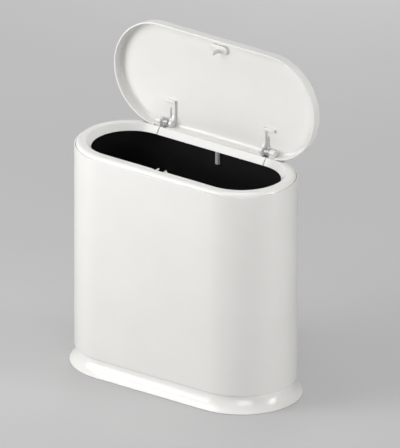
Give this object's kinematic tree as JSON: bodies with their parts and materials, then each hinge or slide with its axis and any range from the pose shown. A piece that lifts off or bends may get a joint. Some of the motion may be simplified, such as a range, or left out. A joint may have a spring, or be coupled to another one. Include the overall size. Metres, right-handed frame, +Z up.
{
  "type": "press lid waste bin",
  "caption": "Slim free-standing waste bin with a racetrack plan, flared base, lift-off collar, black inner bucket and a sprung lid that opens at a press.",
  "frame": {"origin": "on the floor, under the middle of the bin", "axes": "+Z up, +X along the long side, -Y towards the front, where the latch is; the lid's hinge is at +Y"},
  "size_m": [0.31, 0.146, 0.4145],
  "materials": {
    "white_plastic": "satin moulded white plastic",
    "black_plastic": "matt black plastic",
    "steel": "bright spring steel",
    "rubber": "matt black rubber"
  },
  "bodies": {
    "tub": {"outer_shell": "white_plastic", "base_plinth": "white_plastic", "plinth_screws": "steel", "foot_pads": "rubber"},
    "bucket": {"inner_bucket": "black_plastic"},
    "collar": {"collar_ring": "white_plastic", "hinge_bar": "white_plastic", "hinge_bar_screws": "steel", "hinge_pin_left": "steel", "hinge_pin_right": "steel", "torsion_spring_left": "steel", "torsion_spring_right": "steel", "latch_housing": "white_plastic", "latch_spring": "steel", "latch_screws": "steel", "jaw_pins": "steel"},
    "lid": {"lid_shell": "white_plastic", "hinge_arm_left": "white_plastic", "hinge_arm_right": "white_plastic", "latch_striker": "white_plastic"},
    "plunger": {"latch_plunger": "black_plastic"},
    "jaw_left": {"latch_jaw_left": "white_plastic"},
    "jaw_right": {"latch_jaw_right": "white_plastic"}
  },
  "joints": [
    {"name": "collar_lift", "type": "slide", "parent": "tub", "child": "collar", "axis": [0, 0, 1], "range_m": [0, 0.3]},
    {"name": "bucket_lift", "type": "slide", "parent": "tub", "child": "bucket", "axis": [0, 0, 1], "range_m": [0, 0.275]},
    {"name": "lid_hinge", "type": "hinge", "parent": "collar", "child": "lid", "pos_m": [0, 0.0602, 0.2878], "axis": [1, 0, 0], "range_deg": [0, 90.3], "stiffness_Nm_per_rad": 0.04, "springref_deg": -29.79, "deforming": ["torsion_spring_left", "torsion_spring_right"]},
    {"name": "latch_press", "type": "slide", "parent": "collar", "child": "plunger", "axis": [0, 0, -1], "range_m": [0, 0.0036], "stiffness_N_per_m": 150, "deforming": ["latch_spring"]},
    {"name": "jaw_left_swing", "type": "hinge", "parent": "collar", "child": "jaw_left", "pos_m": [-0.007, -0.0498, 0.262], "axis": [0, 1, 0], "range_deg": [0, 10.4]},
    {"name": "jaw_right_swing", "type": "hinge", "parent": "collar", "child": "jaw_right", "pos_m": [0.007, -0.0498, 0.262], "axis": [0, -1, 0], "range_deg": [0, 10.4]}
  ],
  "couplings": [
    {"joint": "bucket_lift", "follows": "collar_lift", "ratio": 0.9},
    {"joint": "jaw_left_swing", "follows": "latch_press", "rad_per_m": 34.7},
    {"joint": "jaw_right_swing", "follows": "latch_press", "rad_per_m": 34.7}
  ]
}
